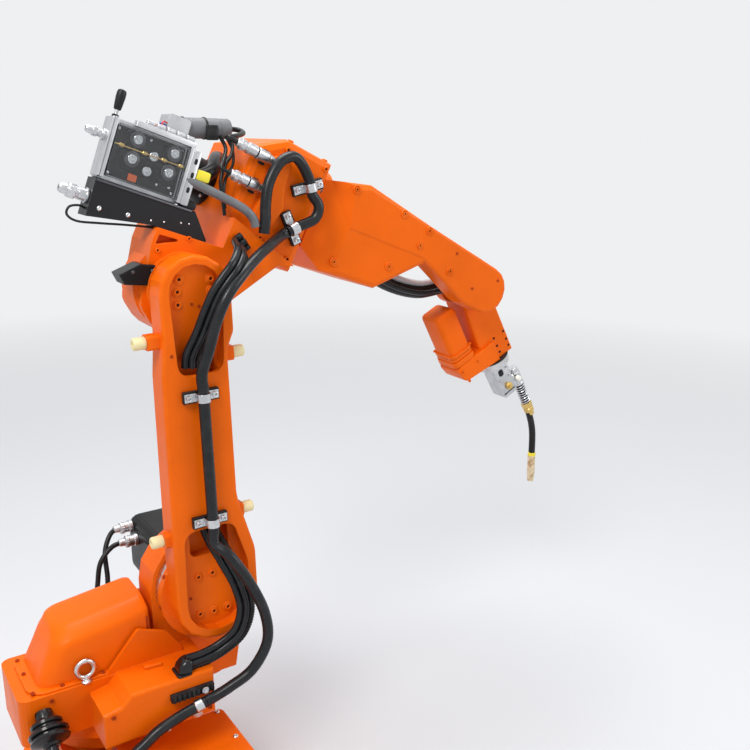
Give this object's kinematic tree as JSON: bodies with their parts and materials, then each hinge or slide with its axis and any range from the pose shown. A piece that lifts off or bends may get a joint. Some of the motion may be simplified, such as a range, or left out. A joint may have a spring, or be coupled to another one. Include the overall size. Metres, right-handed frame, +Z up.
{
  "type": "industrial robot arm",
  "caption": "Floor-mounted jointed welding robot arm with orange castings, hoses clipped along the arm, a wire feeder at the elbow and a welding torch.",
  "frame": {"origin": "on the floor, on the vertical axis of the first joint, at the middle of the base's foot", "axes": "+X the way the arm points in the modelled pose, +Y its left, +Z up; the terminal box of the base is on the -Y side"},
  "size_m": [1.3097, 0.539, 1.3502],
  "materials": {
    "orange_paint": "semi-gloss orange enamel on cast iron and aluminium",
    "black_paint": "satin black motor enamel",
    "black_rubber": "satin black hose rubber",
    "black_plastic": "matt black plastic",
    "cream_rubber": "matt cream rubber",
    "bright_steel": "machined bright steel",
    "bare_aluminium": "bare milled aluminium",
    "dark_frame": "black painted sheet",
    "clear_cover": "smoked clear plastic",
    "brass": "turned brass",
    "copper": "bare copper, a little burnt"
  },
  "bodies": {
    "base": {"base_casting": "orange_paint", "terminal_box": "orange_paint", "terminal_box_lid": "orange_paint", "side_panel": "bare_aluminium", "power_socket": "bare_aluminium", "signal_socket": "bare_aluminium"},
    "swivel": {"swivel_casting": "orange_paint", "motor_hood": "orange_paint", "shoulder_reducer": "bright_steel", "shoulder_motor": "black_paint", "motor_power_cable": "black_rubber", "motor_signal_cable": "black_rubber", "lifting_eye": "bright_steel", "hose_boot": "black_rubber", "swivel_hose": "black_rubber", "swivel_hose_clamp": "black_plastic", "shoulder_hose": "black_rubber", "shoulder_harness": "black_rubber"},
    "lower_arm": {"lower_arm": "orange_paint", "rear_lower_bumper": "cream_rubber", "rear_upper_bumper": "cream_rubber", "front_lower_bumper": "cream_rubber", "front_upper_bumper": "cream_rubber", "arm_hose": "black_rubber", "arm_hose_clamp_lower": "black_plastic", "arm_hose_clamp_upper": "black_plastic"},
    "elbow": {"elbow_casting": "orange_paint", "elbow_stop_cover": "black_paint", "roll_motor": "black_paint", "elbow_harness": "black_rubber", "elbow_hose": "black_rubber", "elbow_hose_clamp_lower": "black_plastic", "elbow_hose_clamp_upper": "black_plastic", "loop_hose": "black_rubber", "feeder_hose": "black_rubber", "feeder_body": "bare_aluminium", "feeder_bracket": "dark_frame", "feeder_cover": "clear_cover", "feeder_lever": "black_plastic", "feeder_motor": "bare_aluminium", "wire_inlet": "bright_steel", "torch_fitting": "bright_steel", "gas_fitting": "bright_steel", "torch_cable_upper": "black_rubber"},
    "forearm": {"forearm_casting": "orange_paint", "torch_cable_lower": "black_rubber"},
    "wrist": {"wrist_casting": "orange_paint", "wrist_motor_cover": "orange_paint"},
    "tool": {"tool_flange": "bright_steel", "torch_mount": "bare_aluminium", "torch_nut": "brass", "torch_neck": "black_rubber", "torch_nozzle": "copper"}
  },
  "joints": [
    {"name": "base_turn", "type": "hinge", "parent": "base", "child": "swivel", "pos_m": [0, 0, 0.2], "axis": [0, 0, 1], "range_deg": [-75, 255]},
    {"name": "shoulder_swing", "type": "hinge", "parent": "swivel", "child": "lower_arm", "pos_m": [0.15, 0, 0.45], "axis": [0, 1, 0], "range_deg": [-58, 80], "deforming": ["shoulder_hose", "shoulder_harness"]},
    {"name": "elbow_lift", "type": "hinge", "parent": "lower_arm", "child": "elbow", "pos_m": [0.13806, 0, 1.01987], "axis": [0, -1, 0], "range_deg": [-54, 95], "deforming": ["elbow_hose", "elbow_harness"]},
    {"name": "forearm_roll", "type": "hinge", "parent": "elbow", "child": "forearm", "pos_m": [0.24961, 0, 1.24361], "axis": [0.8949, 0, -0.4462], "range_deg": [-170, 170]},
    {"name": "wrist_bend", "type": "hinge", "parent": "forearm", "child": "wrist", "pos_m": [0.86264, 0, 0.93796], "axis": [0, -1, 0], "range_deg": [-78, 141], "deforming": ["torch_cable_lower"]},
    {"name": "tool_turn", "type": "hinge", "parent": "wrist", "child": "tool", "pos_m": [0.96343, 0, 0.74016], "axis": [0.454, 0, -0.891], "range_deg": [-180, 180]}
  ]
}
